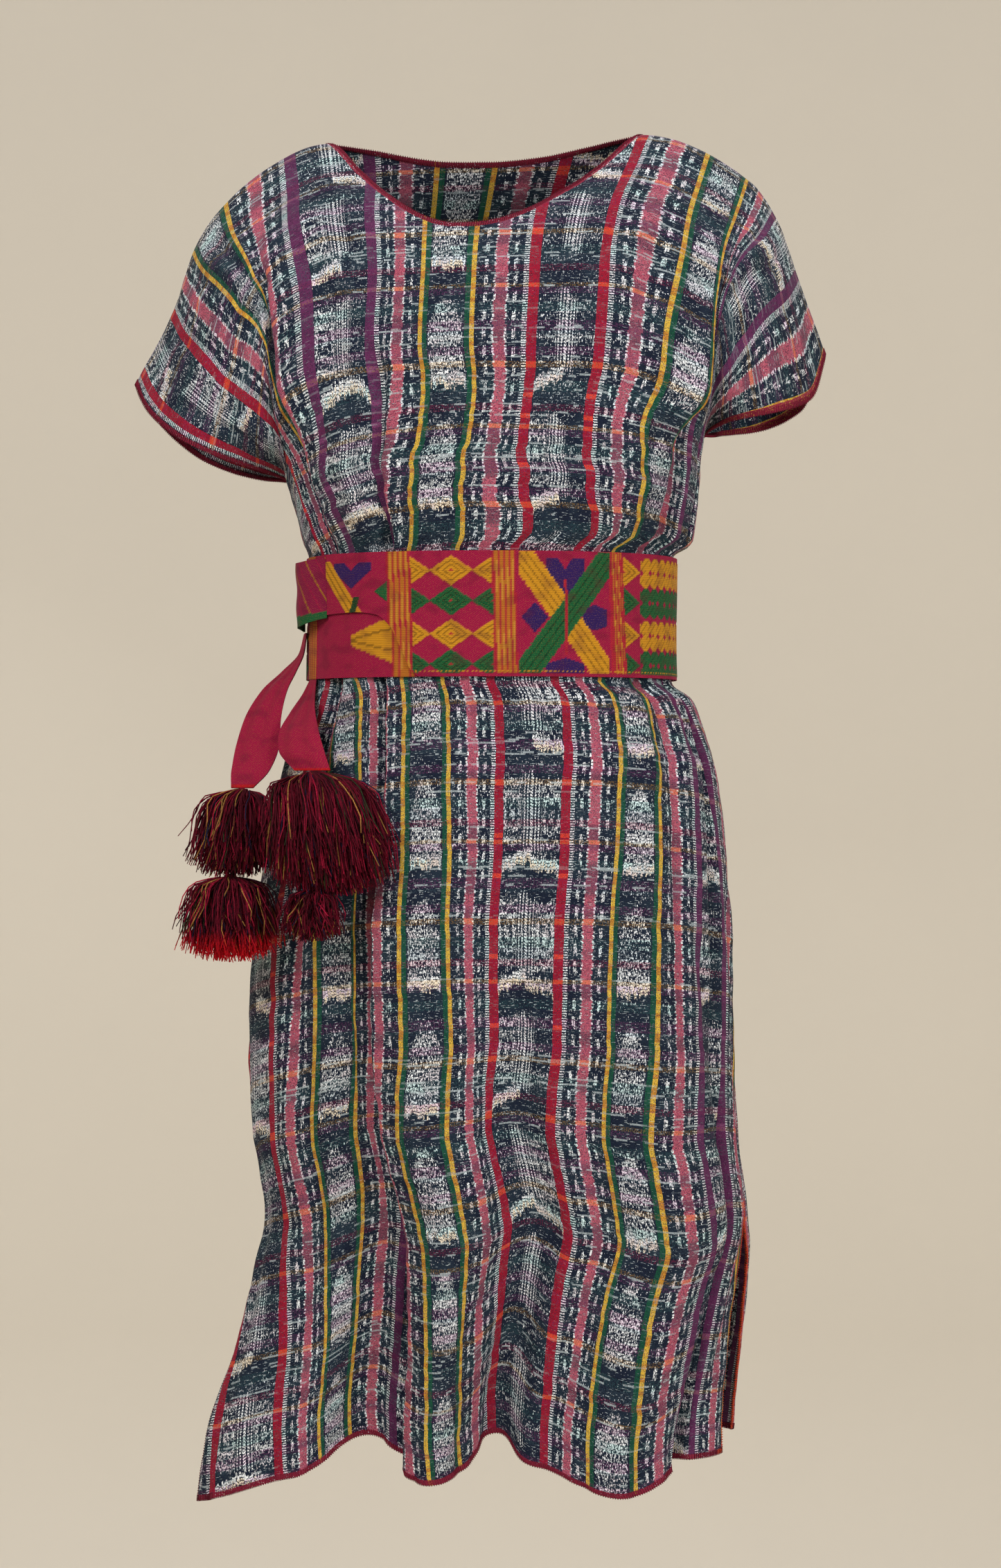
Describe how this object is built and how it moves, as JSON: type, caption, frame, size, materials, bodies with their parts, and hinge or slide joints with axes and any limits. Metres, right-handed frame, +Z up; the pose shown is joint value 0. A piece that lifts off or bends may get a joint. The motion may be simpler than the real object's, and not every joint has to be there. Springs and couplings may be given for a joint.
{
  "type": "handwoven dress",
  "caption": "Short-sleeved handwoven cotton dress with a striped ikat ground, scooped neck and side slits, worn with a brocaded wrap sash that ends in yarn tassels",
  "frame": {"origin": "midway between the shoulders, on the fold of the cloth that lies along the top of them", "axes": "+Z up, the wearer faces -Y, +X is the wearer's left and the picture's right"},
  "size_m": [0.498, 0.2735, 0.9726],
  "materials": {
    "dress_cloth": "matt handwoven cotton",
    "sash_cloth": "matt brocaded cotton",
    "tassel_yarn": "soft cut yarn"
  },
  "bodies": {
    "root": {"dress_front": "dress_cloth", "dress_back": "dress_cloth", "sash_under_wrap": "sash_cloth", "sash_upper_wrap": "sash_cloth", "sash_turn": "sash_cloth", "tail_left": "sash_cloth", "tail_front": "sash_cloth", "tassel_left": "tassel_yarn", "tassel_left_lower": "tassel_yarn", "tassel_front": "tassel_yarn", "tassel_front_lower": "tassel_yarn"}
  },
  "joints": []
}
